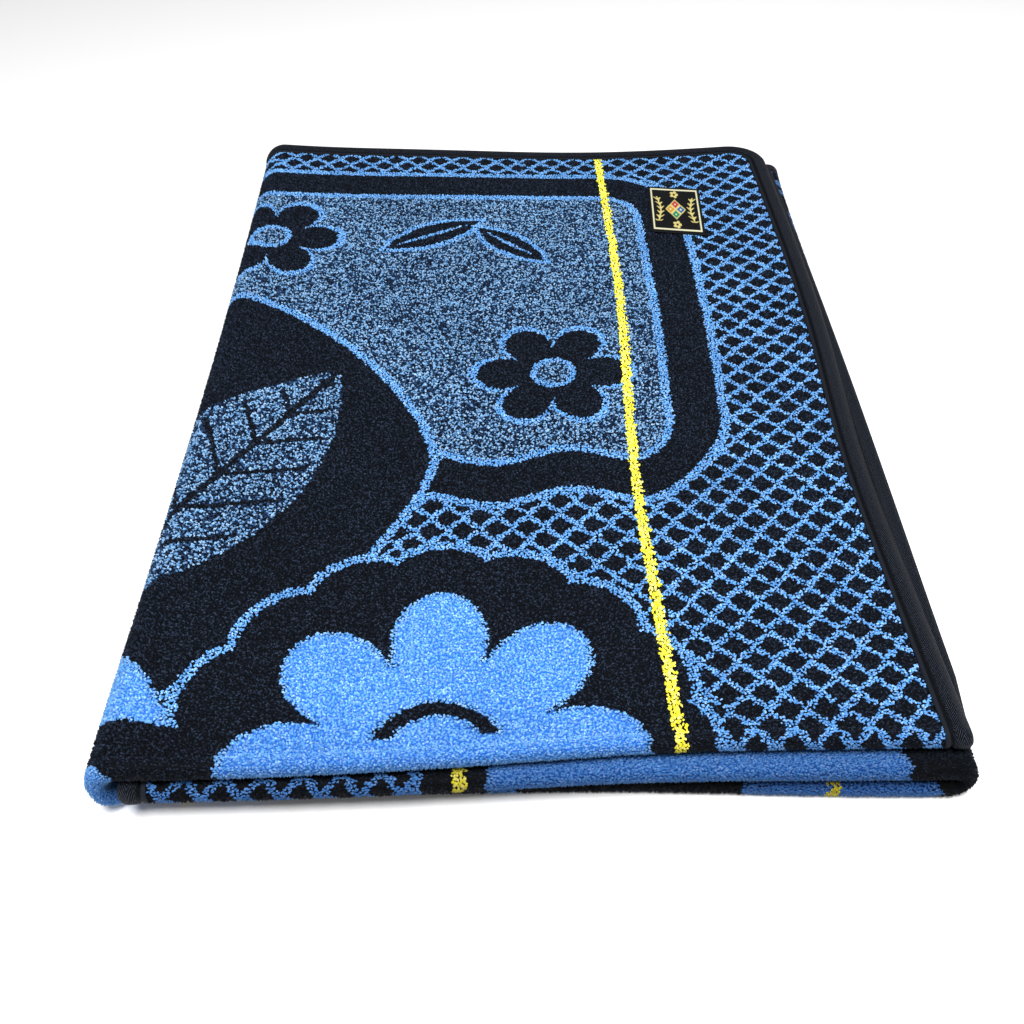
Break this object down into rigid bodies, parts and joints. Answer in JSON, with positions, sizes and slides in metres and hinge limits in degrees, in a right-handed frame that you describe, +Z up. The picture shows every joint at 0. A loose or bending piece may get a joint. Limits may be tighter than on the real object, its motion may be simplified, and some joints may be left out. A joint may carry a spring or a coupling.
{
  "type": "basotho blanket",
  "caption": "Folded patterned pile blanket with a bound edge and a small sewn label, lying flat.",
  "frame": {"origin": "centre of the bounding box at the level of the surface that the blanket lies on", "axes": "+Z up, +Y from the front crease to the bound back edges, +X from the round left fold to the open right edge"},
  "size_m": [0.5752, 0.7869, 0.0582],
  "materials": {
    "pile_cloth": "dense looped wool pile in black, blue and yellow",
    "binding_tape": "black herringbone twill tape with a soft sheen",
    "label_weave": "fine woven label, black ground with pale gold figures"
  },
  "bodies": {
    "root": {"blanket_cloth": "pile_cloth", "edge_binding": "binding_tape", "woven_label": "label_weave"}
  },
  "joints": []
}
